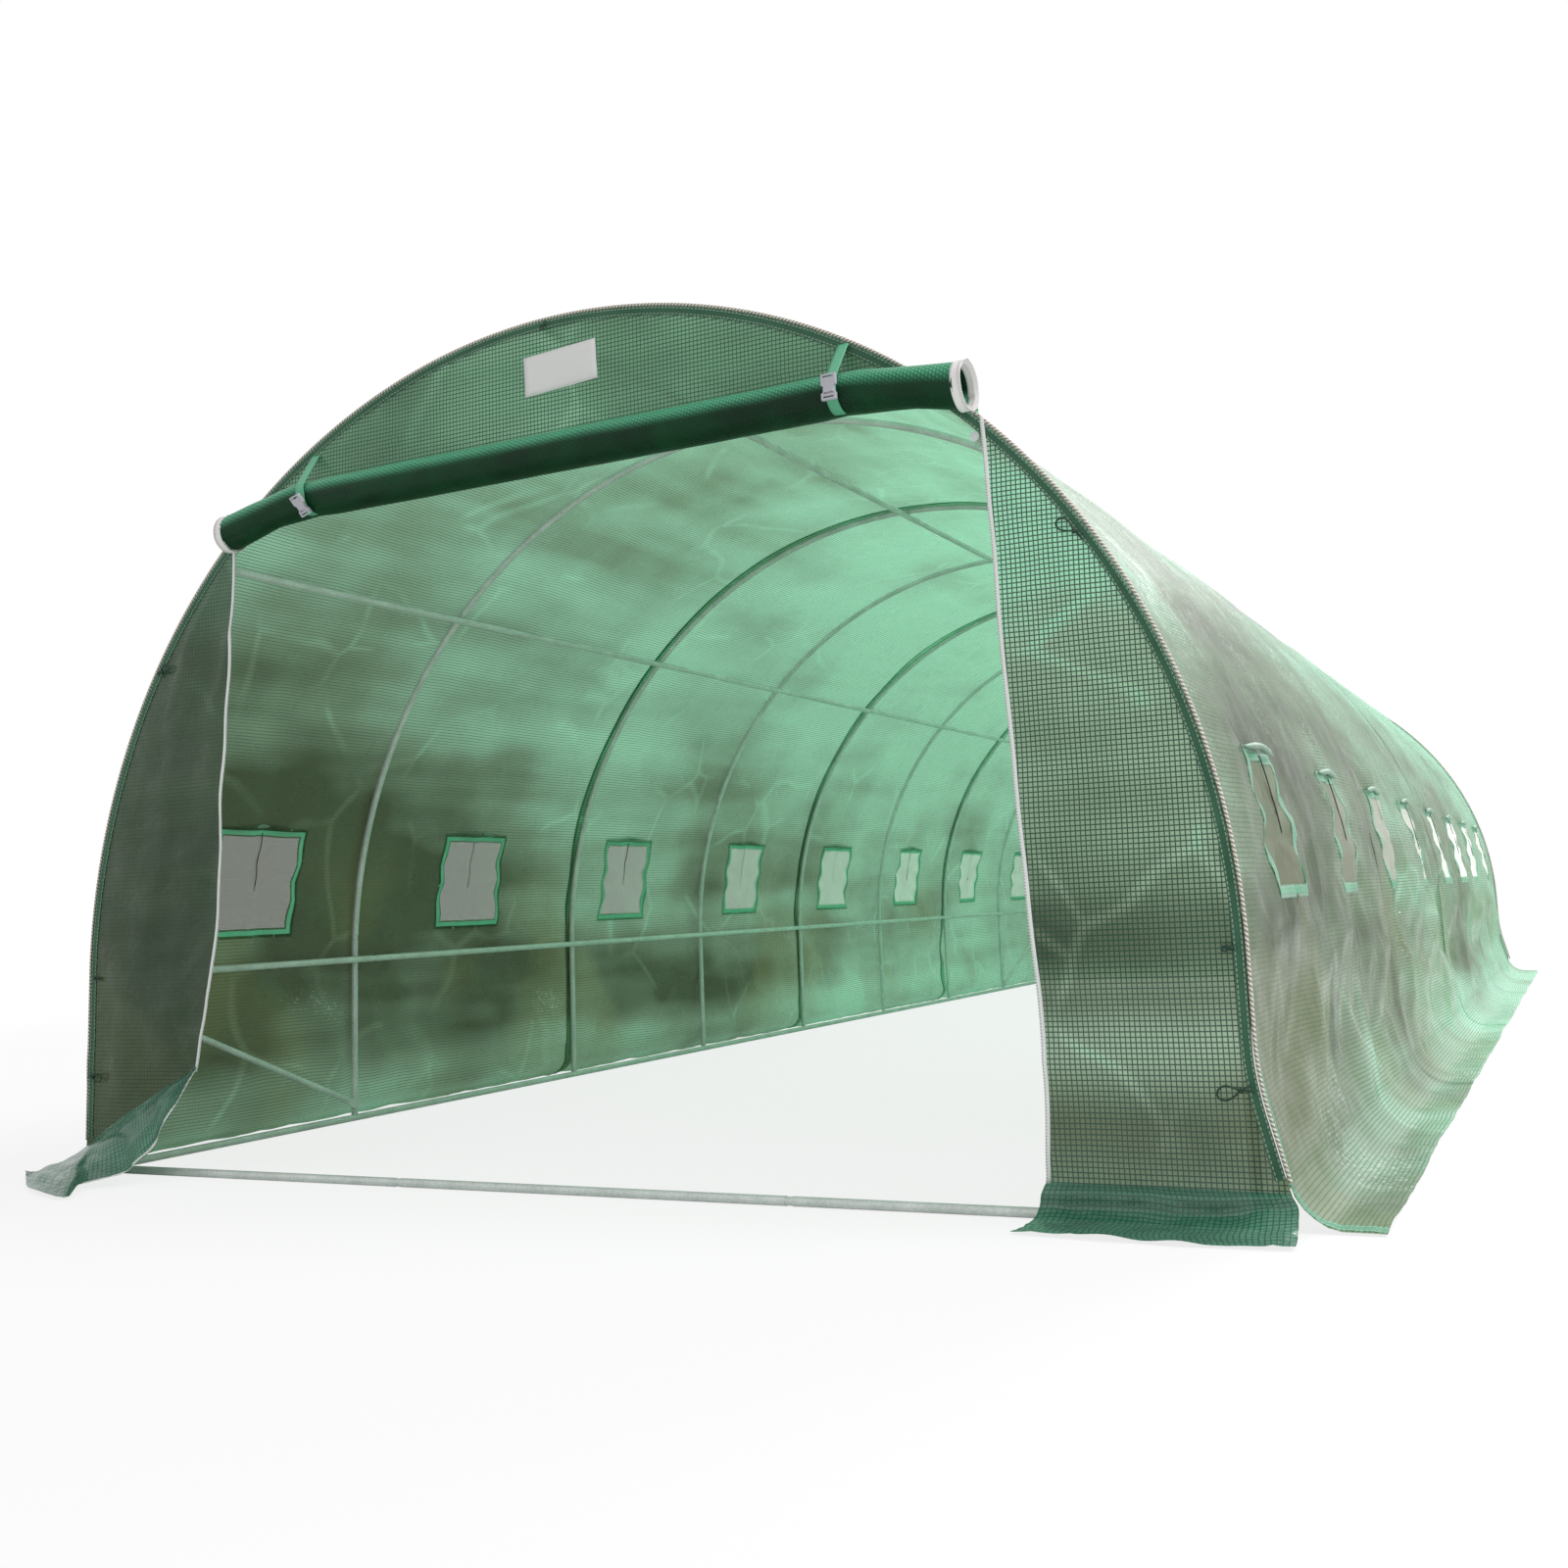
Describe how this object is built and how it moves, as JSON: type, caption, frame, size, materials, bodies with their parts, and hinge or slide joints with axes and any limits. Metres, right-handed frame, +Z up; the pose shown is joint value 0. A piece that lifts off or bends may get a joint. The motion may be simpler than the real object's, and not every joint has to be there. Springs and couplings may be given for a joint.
{
  "type": "polytunnel greenhouse",
  "caption": "Walk-in tunnel greenhouse: bent tube hoops under a woven green film cover, with mesh side windows and a zipped, rolled-up front door.",
  "frame": {"origin": "middle of the tunnel on the ground", "axes": "+X across the tunnel, +Y along it from the front doorway to the rear wall, +Z up"},
  "size_m": [3.44, 8.5648, 2.0214],
  "materials": {
    "galvanised_tube": "galvanised",
    "cover_film": "glossy woven film",
    "cover_layers": "layered woven film",
    "insect_mesh": "fine net",
    "black_cord": "braided",
    "zip_tape": "woven tape",
    "piping": "braided",
    "label": "matt",
    "buckle_plastic": "moulded",
    "webbing": "webbing",
    "elastic": "elastic cord"
  },
  "bodies": {
    "root": {"base_bar_front": "galvanised_tube", "base_bar_rear": "galvanised_tube", "base_rail_left": "galvanised_tube", "base_rail_right": "galvanised_tube", "corner_braces_left": "galvanised_tube", "corner_braces_right": "galvanised_tube", "cover_hem_front": "cover_layers", "cover_hem_rear": "cover_layers", "cover_strip_1": "cover_film", "cover_strip_2": "cover_film", "cover_strip_3": "cover_film", "cover_strip_4": "cover_film", "cover_ties": "elastic", "door_roll": "cover_layers", "door_roll_ends": "zip_tape", "door_straps": "webbing", "front_gable": "cover_film", "front_panel_left": "cover_film", "front_panel_right": "cover_film", "front_piping": "piping", "front_skirt_left": "cover_film", "front_skirt_right": "cover_film", "front_zip_left": "zip_tape", "front_zip_right": "zip_tape", "gable_label": "label", "hoop_1": "galvanised_tube", "hoop_2": "galvanised_tube", "hoop_3": "galvanised_tube", "hoop_4": "galvanised_tube", "hoop_5": "galvanised_tube", "hoop_6": "galvanised_tube", "hoop_7": "galvanised_tube", "hoop_8": "galvanised_tube", "hoop_9": "galvanised_tube", "rear_door": "cover_film", "rear_gable": "cover_film", "rear_panel_left": "cover_film", "rear_panel_right": "cover_film", "rear_piping": "piping", "rear_skirt": "cover_film", "rear_zips": "zip_tape", "ridge_purlin": "galvanised_tube", "shoulder_purlin_left": "galvanised_tube", "shoulder_purlin_right": "galvanised_tube", "strap_buckles": "buckle_plastic", "waist_purlin_left": "galvanised_tube", "waist_purlin_right": "galvanised_tube", "window_cords_left": "black_cord", "window_cords_right": "black_cord", "window_flaps_left": "cover_layers", "window_flaps_right": "cover_layers", "window_hems_left": "cover_layers", "window_hems_right": "cover_layers", "window_meshes_left": "insect_mesh", "window_meshes_right": "insect_mesh"}
  },
  "joints": []
}
